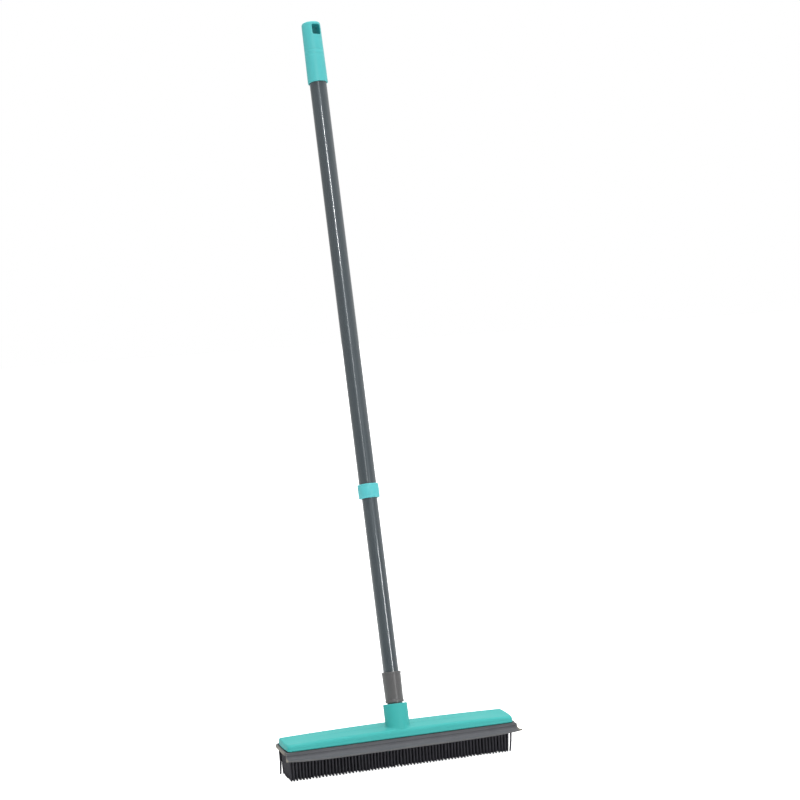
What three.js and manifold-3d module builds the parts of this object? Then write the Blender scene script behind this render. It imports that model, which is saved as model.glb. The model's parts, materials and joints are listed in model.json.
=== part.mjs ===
// Rubber carpet brush with a squeegee lip on a telescopic, twist-locked steel pole.
// Millimetres, +Z up. The bristle tips stand on z = 0, the head runs along X, the lip is on the
// -Y side and the pole leans back towards +Y.
import * as THREE from 'three';
import { mergeVertices } from 'three/addons/utils/BufferGeometryUtils.js';
import Module from 'manifold-3d';

const wasm = await Module();
wasm.setup();

// ---- driving dimensions ---------------------------------------------------------------------

const GAP = 0.3; // between pieces that touch or are pressed together
const BITE = 1; // how far joined shapes run into each other
const CLEAR = 10; // how far a cutting shape runs past what it cuts
const WELD = 1e-4; // points closer than this are one point
const CHAMFER = 0.3; // middle point of a two-facet corner, as a share of the corner's radius
const FINE_SIDES = 40; // facets round a tube or a ring
const MEDIUM_SIDES = 24;
const COARSE_SIDES = 12; // facets round a boss, a screw or a thread turn

const head = {
  length: 300,
  width: 50,
  bottomZ: 39.6, // lower edge of the shell above the bristle tips
  crownHeight: 10.4, // shell height at mid length
  archDrop: 2.3, // how much lower the top is at the two ends
  edgeRound: 2.6,
  endRound: 5, // top corner at each end, more than edgeRound
  cornerRadius: 6,
  wall: 2.4,
};

const pole = {
  lean: THREE.MathUtils.degToRad(14.5),
  baseY: -8.3, // where the pole's axis crosses the plane of the shell's lower edge
};

// Places along the pole's axis are counted from that crossing point.
const thread = {
  coreRadius: 9.7,
  depth: 1.2,
  pitch: 5,
  start: 10,
  clearance: 0.6, // between its crest and the socket's bore
  leadIn: 1.5,
  leadInHeight: 2,
};
const socket = {
  top: 39.2,
  wall: 4.05,
  edge: 1,
  footSpread: 3.8, // how far the foot reaches out beyond the wall
  footHeight: 5,
  footSink: 2,
  footDip: 0.6,
};
const adapter = {
  length: 40.3, // above the socket
  seatHeight: 5.8, // seat of the tube above the socket
  seatFloor: 5,
  lowerWall: 1.3,
  upperWall: 1.85,
  stepOut: 0.4,
  stepHeight: 3.5,
  stepSlope: 0.7,
  beadWall: 2.3,
  beadHeight: 2.6,
  edge: 0.5,
  lighteningRadius: 6.5,
};
const lowerTube = { radius: 10, wall: 0.6, length: 600 };
const upperTube = {
  clearance: 0.75, // all round the lower tube
  wall: 0.6,
  start: 309.5,
  length: 611,
};
const collar = {
  length: 18.5,
  wall: 2.15,
  overTube: 13, // how much of it is on the tube
  edgeRound: 1.4,
  lip: 2.4,
  lipClearance: 0.4,
};
const bush = {
  fit: 0.06, // on the lower tube
  sleeveFit: 0.2, // in the upper tube
  flangeOverlap: 0.7, // beyond the upper tube
  flangeHeight: 2.5,
  sleeveHeight: 22,
};
const lock = {
  shankLength: 20,
  flangeHeight: 3,
  flangeInset: 0.1,
  offset: 0.45, // journal centre from the pole's axis, and cam rim from the journal's centre
  journalRadius: 4.5,
  journalFit: 0.08,
  camGrip: 0.064, // between the locked cam and the tube wall
  camHeight: 11,
  camSlot: 2,
  stubRadius: 2.5,
  retainerRadius: 8,
  retainerHeight: 3,
};
const cap = {
  overTube: 57.2,
  aboveTube: 26.8,
  lowerWall: 1.75,
  upperWall: 0.95,
  edgeRound: 2.6,
  lowerEdge: 0.5,
  domeHeight: 0.8,
  turn: THREE.MathUtils.degToRad(23), // hang hole turned from the brush's own front
  holeWidth: 13.5,
  holeHeight: 14,
  holeRound: 2.5,
  holeTopWall: 4.4,
};

const rim = {
  overhang: 4.8, // beyond the shell at the ends and the back
  frontOverhang: 1,
  thickness: 4.4,
  cornerRadius: 8,
  innerMargin: 12, // how far the ring reaches in under the shell
  innerRadius: 3,
  lipRoot: 2, // how far the lip starts in under the shell
  lipReach: 12, // beyond the shell at the front
  lipDrop: 11.6, // lip's edge below the shell
  lipThickness: 2,
  lipSideReach: 8, // beyond the shell at each end
  lipFace: [[1.4, 6], [4.5, 2.6]], // curve's control points, out from the shell and up from the edge
  lipUnder: [[5, 0], [-1, 2]],
};
const bristles = {
  rowPitch: 4.2,
  frontInset: 8.1, // first row from the shell's front
  backInset: 4, // least distance of the last row from the shell's back
  endInset: 5,
  barWidth: 1.1,
  sheet: 3,
  sheetMargin: 2.5, // beyond the first and last rows
  sheetEndMargin: 1.25,
  wellLow: 15, // lower end of the openings for the screws
};
const plate = {
  thickness: 2.4,
  clearance: 2.6, // inside the shell's wall
  spacerRadius: 4.5,
};
const screws = {
  perSide: 3,
  innerX: 35,
  endInset: 18,
  headRadius: 3.1,
  headHeight: 1.7,
  headRound: 0.8,
  shankRadius: 1.75,
  tipLength: 2,
  tipCover: 1.1, // tip below the shell's top at its ends
  tipClearance: 0.6,
  bossRadius: 4.5,
};
const ribThickness = 1.5;

// ---- sizes that follow from them ------------------------------------------------------------

const crownZ = head.bottomZ + head.crownHeight;
const endZ = crownZ - head.archDrop;
const rimTopZ = head.bottomZ - GAP;
const rimBottomZ = rimTopZ - rim.thickness;
const sheetTopZ = rimBottomZ - GAP;
const sheetBottomZ = sheetTopZ - bristles.sheet;
const plateTopZ = head.bottomZ + plate.thickness;
const bossBottomZ = plateTopZ + GAP;

const upperRadius = lowerTube.radius + upperTube.clearance + upperTube.wall;
const upperEnd = upperTube.start + upperTube.length;
const upperSeatRadius = upperRadius + GAP; // bore of the collar and the cap
const socketBore = thread.coreRadius + thread.depth + thread.clearance;
const socketRadius = socketBore + socket.wall;
const shoulder = socket.top + GAP;
const tubeSeat = socket.top + adapter.seatHeight;
const lowerTubeStart = tubeSeat + GAP;
const lowerTubeEnd = lowerTubeStart + lowerTube.length;
const collarStart = upperTube.start + collar.overTube - collar.length;
const flangeRadius = upperRadius + bush.flangeOverlap;
const journalStart = lowerTubeEnd + GAP + lock.flangeHeight;
const journalEnd = journalStart + lock.camHeight + 2 * GAP;

const screwStep = (head.length / 2 - screws.endInset - screws.innerX) / (screws.perSide - 1);
const sidePlaces = Array.from({ length: screws.perSide }, (_, i) => screws.innerX + i * screwStep);
const screwPlaces = [...sidePlaces.map((x) => -x).reverse(), ...sidePlaces];
const ribPlaces = sidePlaces.slice(1).flatMap((x) => [screwStep / 2 - x, x - screwStep / 2]);
const screwTopZ = endZ - screws.tipCover;

// ---- materials ------------------------------------------------------------------------------

function paint(color, roughness, metalness) {
  return new THREE.MeshStandardMaterial({ color, roughness, metalness });
}

const turquoise = () => paint(0x64ccc6, 0.45, 0);
const greyRubber = () => paint(0x6b6e72, 0.8, 0);
const darkRubber = () => paint(0x3b3c41, 0.75, 0);
const greyPlastic = () => paint(0x6a6968, 0.6, 0);
const tubePaint = () => paint(0x626d73, 0.25, 0.6);
const plainNylon = () => paint(0xd9d7cf, 0.5, 0);
const zincSteel = () => paint(0xb9bcc0, 0.35, 0.9);

// ---- solids from three.js geometry ----------------------------------------------------------

function toSolid(geometry) {
  const bare = geometry.clone();
  bare.deleteAttribute('normal');
  bare.deleteAttribute('uv');
  const merged = mergeVertices(bare, WELD);
  const corners = merged.index.array;
  const kept = [];
  for (let i = 0; i < corners.length; i += 3) {
    const [a, b, c] = corners.slice(i, i + 3);
    if (a !== b && b !== c && c !== a) kept.push(a, b, c);
  }
  return new wasm.Manifold(new wasm.Mesh({
    numProp: 3,
    vertProperties: Float32Array.from(merged.attributes.position.array),
    triVerts: Uint32Array.from(kept),
  }));
}

function addPiece(parent, name, solid, material) {
  const { vertProperties, triVerts } = solid.getMesh();
  const geometry = new THREE.BufferGeometry();
  geometry.setAttribute('position', new THREE.BufferAttribute(Float32Array.from(vertProperties), 3));
  geometry.setIndex(new THREE.BufferAttribute(Uint32Array.from(triVerts), 1));
  geometry.computeVertexNormals();
  const mesh = new THREE.Mesh(geometry, material);
  mesh.name = name;
  parent.add(mesh);
  return mesh;
}

// A solid of revolution about Z. The profile is a list of [radius, height] read upwards along
// the outside; one that leaves the axis closes on itself.
function turned(profile, sides = FINE_SIDES) {
  const points = profile.map(([radius, height]) => new THREE.Vector2(radius, height));
  const onAxis = points[0].x === 0 && points[points.length - 1].x === 0;
  if (!onAxis) points.push(points[0].clone());
  return new THREE.LatheGeometry(points, sides).rotateX(Math.PI / 2);
}

function rod(radius, low, high, sides = FINE_SIDES) {
  return turned([[0, low], [radius, low], [radius, high], [0, high]], sides);
}

function pipe(outer, inner, low, high, sides = FINE_SIDES) {
  return turned([[outer, low], [outer, high], [inner, high], [inner, low]], sides);
}

function block(low, high) {
  const size = high.map((value, i) => value - low[i]);
  const centre = high.map((value, i) => (value + low[i]) / 2);
  return new THREE.BoxGeometry(...size).translate(...centre);
}

function roundedRectangle(halfLength, lowY, highY, radius) {
  const shape = new THREE.Shape();
  const quarter = Math.PI / 2;
  shape.absarc(halfLength - radius, lowY + radius, radius, -quarter, 0);
  shape.absarc(halfLength - radius, highY - radius, radius, 0, quarter);
  shape.absarc(-halfLength + radius, highY - radius, radius, quarter, 2 * quarter);
  shape.absarc(-halfLength + radius, lowY + radius, radius, 2 * quarter, 3 * quarter);
  return shape;
}

function risen(shape, low, high, curveSegments = 6) {
  const settings = { depth: high - low, bevelEnabled: false, curveSegments };
  return new THREE.ExtrudeGeometry(shape, settings).translate(0, 0, low);
}

// A shape drawn in X and Z, given a depth along Y that is centred on the head.
function acrossHead(shape, depth, bevel = 0) {
  const settings = {
    depth: depth - 2 * bevel,
    bevelEnabled: bevel > 0,
    bevelThickness: bevel,
    bevelSize: bevel,
    bevelOffset: -bevel,
    bevelSegments: 3,
    curveSegments: 8,
  };
  return new THREE.ExtrudeGeometry(shape, settings).rotateX(Math.PI / 2).translate(0, depth / 2 - bevel, 0);
}

// Moves a geometry from the pole's own frame, with Z along its axis, to the head's.
function alongPole(geometry) {
  return geometry.rotateX(-pole.lean).translate(0, pole.baseY, head.bottomZ);
}

// ---- head -----------------------------------------------------------------------------------

// Side view of the shell: straight ends, a round top corner at each end and an arched crown.
function archOutline(inset, lowZ) {
  const half = head.length / 2 - inset;
  const endTop = endZ - inset;
  const round = head.endRound;
  const shoulder = endTop + 2 * head.archDrop * (round / half); // the arch, one round in from the end
  const outline = new THREE.Shape();
  outline.moveTo(-half, lowZ);
  outline.lineTo(half, lowZ);
  outline.lineTo(half, endTop - round);
  outline.quadraticCurveTo(half, endTop, half - round, shoulder);
  outline.quadraticCurveTo(0, 2 * (crownZ - inset) - shoulder, -half + round, shoulder);
  outline.quadraticCurveTo(-half, endTop, -half, endTop - round);
  return outline;
}

function headShell() {
  const halfLength = head.length / 2;
  const halfWidth = head.width / 2;
  const below = head.bottomZ - CLEAR;
  const crown = toSolid(acrossHead(archOutline(0, below), head.width, head.edgeRound));
  const plan = roundedRectangle(halfLength, -halfWidth, halfWidth, head.cornerRadius);
  const body = crown.intersect(toSolid(risen(plan, head.bottomZ, crownZ + CLEAR)));
  const hollow = toSolid(acrossHead(archOutline(head.wall, below), head.width - 2 * head.wall));
  let shell = body.subtract(hollow);

  for (const x of ribPlaces) {
    const low = [x - ribThickness / 2, -halfWidth + BITE, bossBottomZ];
    const high = [x + ribThickness / 2, halfWidth - BITE, crownZ];
    shell = shell.add(toSolid(block(low, high)).intersect(body));
  }
  for (const x of screwPlaces) {
    const roof = screwTopZ + screws.tipClearance;
    const boss = rod(screws.bossRadius, bossBottomZ, crownZ, COARSE_SIDES).translate(x, 0, 0);
    const hole = rod(screws.shankRadius + GAP, head.bottomZ, roof, COARSE_SIDES).translate(x, 0, 0);
    shell = shell.add(toSolid(boss).intersect(body)).subtract(toSolid(hole));
  }

  const spread = 2 * socketRadius;
  const ceiling = crownZ + socket.top;
  const abovePlate = toSolid(block([-spread, -spread, bossBottomZ], [spread, spread, ceiling]));
  const tower = toSolid(alongPole(turned([
    [0, 0],
    [socketRadius, 0],
    [socketRadius, socket.top - socket.edge],
    [socketRadius - socket.edge, socket.top],
    [0, socket.top],
  ])));
  const footY = pole.baseY + Math.tan(pole.lean) * head.crownHeight;
  const footRadius = socketRadius + socket.footSpread;
  const footLow = crownZ - socket.footDip;
  const footSteps = 5;
  const footProfile = [[0, crownZ - socket.footSink], [footRadius, crownZ - socket.footSink]];
  for (let i = 0; i <= footSteps; i += 1) {
    const angle = (Math.PI / 2) * (i / footSteps);
    footProfile.push([
      footRadius - (socket.footSpread + BITE) * Math.sin(angle),
      footLow + socket.footHeight * (1 - Math.cos(angle)),
    ]);
  }
  footProfile.push([0, footLow + socket.footHeight]);
  const foot = toSolid(turned(footProfile).translate(0, footY, 0));
  const bore = toSolid(alongPole(rod(socketBore, -CLEAR, socket.top + CLEAR)));
  return shell.add(tower.intersect(abovePlate)).add(foot).subtract(bore);
}

// Rubber ring under the shell, with the squeegee lip sweeping out and down along the front.
function squeegeeRim() {
  const halfLength = head.length / 2;
  const front = -head.width / 2;
  const outer = roundedRectangle(
    halfLength + rim.overhang, front - rim.frontOverhang, head.width / 2 + rim.overhang, rim.cornerRadius);
  const inner = roundedRectangle(
    halfLength - rim.innerMargin, front + rim.innerMargin, head.width / 2 - rim.innerMargin, rim.innerRadius);
  const ring = toSolid(risen(outer, rimBottomZ, rimTopZ))
    .subtract(toSolid(risen(inner, rimBottomZ - CLEAR, rimTopZ + CLEAR)));

  const tipY = front - rim.lipReach;
  const tipZ = head.bottomZ - rim.lipDrop;
  const controls = (points) => points.flatMap(([out, up]) => [front - out, tipZ + up]);
  const section = new THREE.Shape();
  section.moveTo(front + rim.lipRoot, rimTopZ);
  section.lineTo(front - rim.frontOverhang, rimTopZ);
  section.bezierCurveTo(...controls(rim.lipFace), tipY, tipZ + rim.lipThickness);
  section.lineTo(tipY, tipZ);
  section.bezierCurveTo(...controls(rim.lipUnder), front + rim.lipRoot, rimBottomZ);
  const lipHalf = halfLength + rim.lipSideReach;
  const settings = { depth: 2 * lipHalf, bevelEnabled: false, curveSegments: 8 };
  const sweep = new THREE.ExtrudeGeometry(section, settings);
  sweep.rotateX(Math.PI / 2).rotateZ(Math.PI / 2).translate(-lipHalf, 0, 0);
  return ring.add(toSolid(sweep));
}

function rowPlaces() {
  const field = head.width - bristles.frontInset - bristles.backInset;
  const count = Math.floor(field / bristles.rowPitch) + 1;
  const first = -head.width / 2 + bristles.frontInset;
  return Array.from({ length: count }, (_, i) => first + i * bristles.rowPitch);
}

// Moulded rubber sheet with its bristles. Each row of bristles is one thin bar of the same mass.
function bristleBlock() {
  const rows = rowPlaces();
  const halfLength = head.length / 2 - bristles.endInset;
  const sheetHalf = halfLength + bristles.sheetEndMargin;
  const low = [-sheetHalf, rows[0] - bristles.sheetMargin, sheetBottomZ];
  const high = [sheetHalf, rows[rows.length - 1] + bristles.sheetMargin, sheetTopZ];
  let rubber = toSolid(block(low, high));
  for (const y of rows) {
    const half = bristles.barWidth / 2;
    const bar = block([-halfLength, y - half, 0], [halfLength, y + half, sheetBottomZ + BITE]);
    rubber = rubber.add(toSolid(bar));
  }
  for (const x of screwPlaces) {
    const well = rod(screws.headRadius + GAP, bristles.wellLow, sheetBottomZ, COARSE_SIDES);
    const hole = rod(screws.shankRadius + GAP, bristles.wellLow, sheetTopZ + CLEAR, COARSE_SIDES);
    rubber = rubber.subtract(toSolid(well.translate(x, 0, 0))).subtract(toSolid(hole.translate(x, 0, 0)));
  }
  return rubber;
}

// Stiff plate inside the shell that clamps the ring and the sheet, with a spacer at each screw.
function clampPlate() {
  const halfLength = head.length / 2 - head.wall - plate.clearance;
  const halfWidth = head.width / 2 - head.wall - plate.clearance;
  let solid = toSolid(block([-halfLength, -halfWidth, head.bottomZ], [halfLength, halfWidth, plateTopZ]));
  for (const x of screwPlaces) {
    const spacer = rod(plate.spacerRadius, sheetTopZ + GAP, head.bottomZ + BITE, COARSE_SIDES);
    const hole = rod(screws.shankRadius + GAP, sheetTopZ, plateTopZ + CLEAR, COARSE_SIDES);
    solid = solid.add(toSolid(spacer.translate(x, 0, 0))).subtract(toSolid(hole.translate(x, 0, 0)));
  }
  return solid;
}

function clampScrew(x) {
  const headTop = sheetBottomZ - GAP;
  return toSolid(turned([
    [0, headTop - screws.headHeight],
    [screws.headRadius - screws.headRound, headTop - screws.headHeight],
    [screws.headRadius, headTop - screws.headHeight + screws.headRound],
    [screws.headRadius, headTop],
    [screws.shankRadius, headTop],
    [screws.shankRadius, screwTopZ - screws.tipLength],
    [0, screwTopZ],
  ], COARSE_SIDES).translate(x, 0, 0));
}

// ---- lower pole -----------------------------------------------------------------------------

class Helix extends THREE.Curve {
  constructor(radius, pitch, start, turns) {
    super();
    Object.assign(this, { radius, pitch, start, turns });
  }

  getPoint(t, target = new THREE.Vector3()) {
    const angle = 2 * Math.PI * this.turns * t;
    const height = this.start + this.pitch * this.turns * t;
    return target.set(this.radius * Math.cos(angle), this.radius * Math.sin(angle), height);
  }
}

// Moulded end piece: a screw thread below, a seat for the tube above.
function threadAdapter() {
  const top = socket.top + adapter.length;
  const beadStart = top - adapter.beadHeight;
  const bore = lowerTube.radius + GAP;
  const lowerRadius = bore + adapter.lowerWall;
  const beadRadius = bore + adapter.beadWall;
  const stepTop = shoulder + adapter.stepHeight;
  const body = toSolid(turned([
    [0, thread.start],
    [thread.coreRadius - thread.leadIn, thread.start],
    [thread.coreRadius, thread.start + thread.leadInHeight],
    [thread.coreRadius, shoulder],
    [lowerRadius + adapter.stepOut, shoulder],
    [lowerRadius + adapter.stepOut, stepTop],
    [lowerRadius, stepTop + adapter.stepSlope],
    [bore + adapter.upperWall, beadStart],
    [beadRadius, beadStart + adapter.edge],
    [beadRadius, top - adapter.edge],
    [beadRadius - adapter.edge, top],
    [bore, top],
    [bore, tubeSeat],
    [0, tubeSeat],
  ]));
  const ridgeShape = new THREE.Shape();
  ridgeShape.absarc(0, 0, thread.depth, 0, 2 * Math.PI);
  const start = thread.start + 2 * thread.depth;
  const turns = Math.floor((shoulder - start - thread.depth) / thread.pitch);
  const helix = new Helix(thread.coreRadius, thread.pitch, start, turns);
  const settings = { steps: turns * COARSE_SIDES, curveSegments: 3, extrudePath: helix };
  const ridge = toSolid(new THREE.ExtrudeGeometry(ridgeShape, settings));
  const lightening = rod(adapter.lighteningRadius, 0, tubeSeat - adapter.seatFloor);
  return body.add(ridge).subtract(toSolid(lightening));
}

// Plug in the top of the lower tube, with the off-centre journal that the lock cam turns on.
function lockPlug() {
  const shankRadius = lowerTube.radius - lowerTube.wall - GAP;
  const flangeLow = lowerTubeEnd + GAP;
  const stubEnd = journalEnd + GAP + lock.retainerHeight;
  const shank = rod(shankRadius, lowerTubeEnd - lock.shankLength, flangeLow + BITE);
  const flange = rod(lowerTube.radius - lock.flangeInset, flangeLow, journalStart);
  const journal = rod(lock.journalRadius, journalStart - BITE, journalEnd, MEDIUM_SIDES);
  const stub = rod(lock.stubRadius, journalEnd - BITE, stubEnd, COARSE_SIDES);
  return toSolid(shank).add(toSolid(flange))
    .add(toSolid(journal.translate(lock.offset, 0, 0)))
    .add(toSolid(stub.translate(lock.offset, 0, 0)));
}

// Split ring with an off-centre bore. At rest it stands locked, a quarter turn from centred.
function lockCam() {
  const low = journalStart + GAP;
  const high = low + lock.camHeight;
  const reach = upperRadius - upperTube.wall - lock.camGrip;
  const camRadius = reach - Math.SQRT2 * lock.offset;
  const ring = rod(camRadius, low, high).translate(lock.offset, lock.offset, 0);
  const bore = rod(lock.journalRadius + lock.journalFit, low - CLEAR, high + CLEAR, MEDIUM_SIDES);
  const half = lock.camSlot / 2;
  const slot = block([-half, -2 * camRadius, low - CLEAR], [half, 0, high + CLEAR]);
  return toSolid(ring).subtract(toSolid(bore.translate(lock.offset, 0, 0)))
    .subtract(toSolid(slot.translate(lock.offset, 0, 0)));
}

function camRetainer() {
  const low = journalEnd + GAP;
  const hole = lock.stubRadius + GAP;
  const disc = pipe(lock.retainerRadius, hole, low, low + lock.retainerHeight, MEDIUM_SIDES);
  return toSolid(disc.translate(lock.offset, 0, 0));
}

// ---- upper pole -----------------------------------------------------------------------------

function guideBush() {
  const bore = lowerTube.radius + bush.fit;
  const sleeveRadius = upperRadius - upperTube.wall - bush.sleeveFit;
  const low = collarStart + collar.lip + GAP;
  return toSolid(turned([
    [flangeRadius, low],
    [flangeRadius, low + bush.flangeHeight],
    [sleeveRadius, low + bush.flangeHeight],
    [sleeveRadius, low + bush.sleeveHeight],
    [bore, low + bush.sleeveHeight],
    [bore, low],
  ]));
}

function twistCollar() {
  const radius = upperSeatRadius + collar.wall;
  const end = collarStart + collar.length;
  const lipBore = lowerTube.radius + collar.lipClearance;
  const pocketRadius = flangeRadius + GAP;
  const round = collar.edgeRound;
  return toSolid(turned([
    [lipBore, collarStart],
    [radius - round, collarStart],
    [radius - CHAMFER * round, collarStart + CHAMFER * round],
    [radius, collarStart + round],
    [radius, end - round],
    [radius - CHAMFER * round, end - CHAMFER * round],
    [radius - round, end],
    [upperSeatRadius, end],
    [upperSeatRadius, upperTube.start],
    [pocketRadius, upperTube.start],
    [pocketRadius, collarStart + collar.lip],
    [lipBore, collarStart + collar.lip],
  ]));
}

function hangingCap() {
  const start = upperEnd - cap.overTube;
  const end = upperEnd + cap.aboveTube;
  const lowerRadius = upperSeatRadius + cap.lowerWall;
  const topRadius = upperSeatRadius + cap.upperWall;
  const roundLow = end - cap.domeHeight - cap.edgeRound;
  const profile = [
    [0, start],
    [lowerRadius - cap.lowerEdge, start],
    [lowerRadius, start + cap.lowerEdge],
    [topRadius, roundLow],
  ];
  const roundSteps = 4;
  for (let i = 1; i <= roundSteps; i += 1) {
    const angle = (Math.PI / 2) * (i / roundSteps);
    profile.push([
      topRadius - cap.edgeRound * (1 - Math.cos(angle)),
      roundLow + cap.edgeRound * Math.sin(angle),
    ]);
  }
  profile.push([0, end]);
  const body = toSolid(turned(profile));
  const tubeHole = rod(upperSeatRadius, start - CLEAR, upperEnd + GAP);

  const holeTop = end - cap.holeTopWall;
  const outline = roundedRectangle(cap.holeWidth / 2, holeTop - cap.holeHeight, holeTop, cap.holeRound);
  const cut = acrossHead(outline, 4 * lowerRadius).rotateZ(cap.turn);
  return body.subtract(toSolid(tubeHole)).subtract(toSolid(cut));
}

// ---- assembly -------------------------------------------------------------------------------

const brush = new THREE.Group();
brush.name = 'carpet_brush';

addPiece(brush, 'head_shell', headShell(), turquoise());
addPiece(brush, 'squeegee_rim', squeegeeRim(), greyRubber());
addPiece(brush, 'bristle_block', bristleBlock(), darkRubber());
addPiece(brush, 'clamp_plate', clampPlate(), greyPlastic());
screwPlaces.forEach((x, i) => addPiece(brush, `clamp_screw_${i + 1}`, clampScrew(x), zincSteel()));

const poleGroup = new THREE.Group();
poleGroup.position.set(0, pole.baseY, head.bottomZ);
poleGroup.rotation.x = -pole.lean;
brush.add(poleGroup);

const lowerBore = lowerTube.radius - lowerTube.wall;
const lowerPipe = pipe(lowerTube.radius, lowerBore, lowerTubeStart, lowerTubeEnd);
const upperPipe = pipe(upperRadius, upperRadius - upperTube.wall, upperTube.start, upperEnd);

addPiece(poleGroup, 'thread_adapter', threadAdapter(), greyPlastic());
addPiece(poleGroup, 'lower_tube', toSolid(lowerPipe), tubePaint());
addPiece(poleGroup, 'lock_plug', lockPlug(), plainNylon());
addPiece(poleGroup, 'lock_cam', lockCam(), plainNylon());
addPiece(poleGroup, 'cam_retainer', camRetainer(), plainNylon());
addPiece(poleGroup, 'guide_bush', guideBush(), plainNylon());
addPiece(poleGroup, 'twist_collar', twistCollar(), turquoise());
addPiece(poleGroup, 'upper_tube', toSolid(upperPipe), tubePaint());
addPiece(poleGroup, 'hanging_cap', hangingCap(), turquoise());

export default brush;
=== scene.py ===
import json
import math
import random

import bpy
from mathutils import Matrix, Vector


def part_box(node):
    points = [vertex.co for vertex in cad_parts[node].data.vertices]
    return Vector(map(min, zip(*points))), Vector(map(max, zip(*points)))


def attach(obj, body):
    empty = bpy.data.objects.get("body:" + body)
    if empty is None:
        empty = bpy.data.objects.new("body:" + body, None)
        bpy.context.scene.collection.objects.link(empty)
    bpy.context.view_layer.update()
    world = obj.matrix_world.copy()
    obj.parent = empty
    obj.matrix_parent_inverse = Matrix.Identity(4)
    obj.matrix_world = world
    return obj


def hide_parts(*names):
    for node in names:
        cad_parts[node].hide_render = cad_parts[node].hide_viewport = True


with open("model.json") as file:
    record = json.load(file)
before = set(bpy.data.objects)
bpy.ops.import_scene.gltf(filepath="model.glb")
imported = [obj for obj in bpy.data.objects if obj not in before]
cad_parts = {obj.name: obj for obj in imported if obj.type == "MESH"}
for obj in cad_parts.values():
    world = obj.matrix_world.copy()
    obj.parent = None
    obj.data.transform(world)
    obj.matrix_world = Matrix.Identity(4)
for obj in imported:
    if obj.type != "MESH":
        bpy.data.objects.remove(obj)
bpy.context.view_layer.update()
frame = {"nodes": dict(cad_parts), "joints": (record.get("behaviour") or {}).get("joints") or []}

# Rubber carpet brush on a telescopic pole. Metres, Z up, lip towards -Y, pole leaning to +Y.

mm = 0.001

# the pole's own axes: its foot is the origin, Z runs up it and Y points to its back
joints = {joint["name"]: joint for joint in frame["joints"]}
poleAxis = Vector(joints["telescope"]["axis"]).normalized()
poleBase = Vector(joints["pole_screw"]["pos_m"])
poleSide = Vector((1, 0, 0))
poleBack = poleAxis.cross(poleSide)
polePlace = Matrix.Translation(poleBase) @ Matrix((poleSide, poleBack, poleAxis)).transposed().to_4x4()


def poleSpan(node):  # lowest and highest place of a CAD node along the pole, and its largest radius
    toPole = polePlace.inverted()
    points = [toPole @ v.co for v in frame["nodes"][node].data.vertices]
    heights = [p.z for p in points]
    return min(heights), max(heights), max(math.hypot(p.x, p.y) for p in points)


shellLow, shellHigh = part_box("head_shell")
halfLength = shellHigh.x
halfWidth = shellHigh.y
shellBottom = shellLow.z
print("frame read")


# small node helpers, for the studio and for the finishes
def feed(tree, socket, value):  # value is another node's output, or a plain number or colour
    if isinstance(value, bpy.types.NodeSocket):
        tree.links.new(value, socket)
    else:
        socket.default_value = value


def multiply(tree, first, second):
    node = tree.nodes.new("ShaderNodeMath")
    node.operation = "MULTIPLY"
    feed(tree, node.inputs[0], first)
    feed(tree, node.inputs[1], second)
    return node.outputs["Value"]


def mapRange(tree, value, fromMin, fromMax, toMin=0.0, toMax=1.0):
    node = tree.nodes.new("ShaderNodeMapRange")
    feed(tree, node.inputs["Value"], value)
    feed(tree, node.inputs["From Min"], fromMin)
    feed(tree, node.inputs["From Max"], fromMax)
    feed(tree, node.inputs["To Min"], toMin)
    feed(tree, node.inputs["To Max"], toMax)
    return node.outputs["Result"]


def mixShaders(tree, share, first, second):
    node = tree.nodes.new("ShaderNodeMixShader")
    feed(tree, node.inputs["Fac"], share)
    feed(tree, node.inputs[1], first)
    feed(tree, node.inputs[2], second)
    return node.outputs["Shader"]


def mixColours(tree, share, first, second):  # a colour is another node's output, or red, green, blue
    node = tree.nodes.new("ShaderNodeMix")
    node.data_type = "RGBA"
    shareIn, firstIn, secondIn = node.inputs[0], node.inputs[6], node.inputs[7]
    feed(tree, shareIn, share)
    for socket, colour in ((firstIn, first), (secondIn, second)):
        feed(tree, socket, colour + (1,) if isinstance(colour, tuple) else colour)
    return node.outputs[2]


def addNoise(tree, vector, scale, detail, distortion=0.0):
    node = tree.nodes.new("ShaderNodeTexNoise")
    feed(tree, node.inputs["Vector"], vector)
    feed(tree, node.inputs["Scale"], scale)
    feed(tree, node.inputs["Detail"], detail)
    feed(tree, node.inputs["Distortion"], distortion)
    return node.outputs["Fac"]


# camera, floor and light
viewPoint = {
    "place": (-0.7416, -2.4183, 0.7274),
    "turn": 17.622,  # degrees, right of straight ahead
    "down": 5.89,
    "roll": 2.85,
    "lens": 91.05,  # millimetres
    "sensorWidth": 36,
    "clip": (0.05, 60),
}

studio = {
    "floorWhite": 0.95,
    "floorRoughness": 0.9,
    "floorSize": 14.0,
    "floorGlow": 1.0,  # lifts the floor's soft shadow, for the camera only
    "backdrop": 1.0,
    "skyLow": 0.62,  # light from all round, at the horizon and overhead
    "skyHigh": 1.1,
    "frontShade": 0.22,  # share that is left of it behind the camera
    "frontZone": (-0.9, 0.0),
    "sideShade": 0.5,  # and on the brush's left
    "sideZone": (-0.9, -0.2),
}

softboxes = {  # the strips draw the light lines along the tubes
    "keySoftbox": {"place": (0.1, 0.3, 2.6), "aim": (0, 0.05, 0.1), "size": (1.4, 1.4), "power": 22.5},
    "stripHigh": {"place": (-0.53, -2.26, 2.07), "aim": (0, 0.18, 0.8), "size": (0.16, 0.42), "power": 12.0},
    "stripMid": {"place": (-0.56, -2.32, 1.6), "aim": (0, 0.12, 0.55), "size": (0.13, 0.7), "power": 2.8},
    "stripLow": {"place": (0.82, -2.34, 0.86), "aim": (0, 0.02, 0.2), "size": (0.2, 0.42), "power": 8.6},
}


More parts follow.
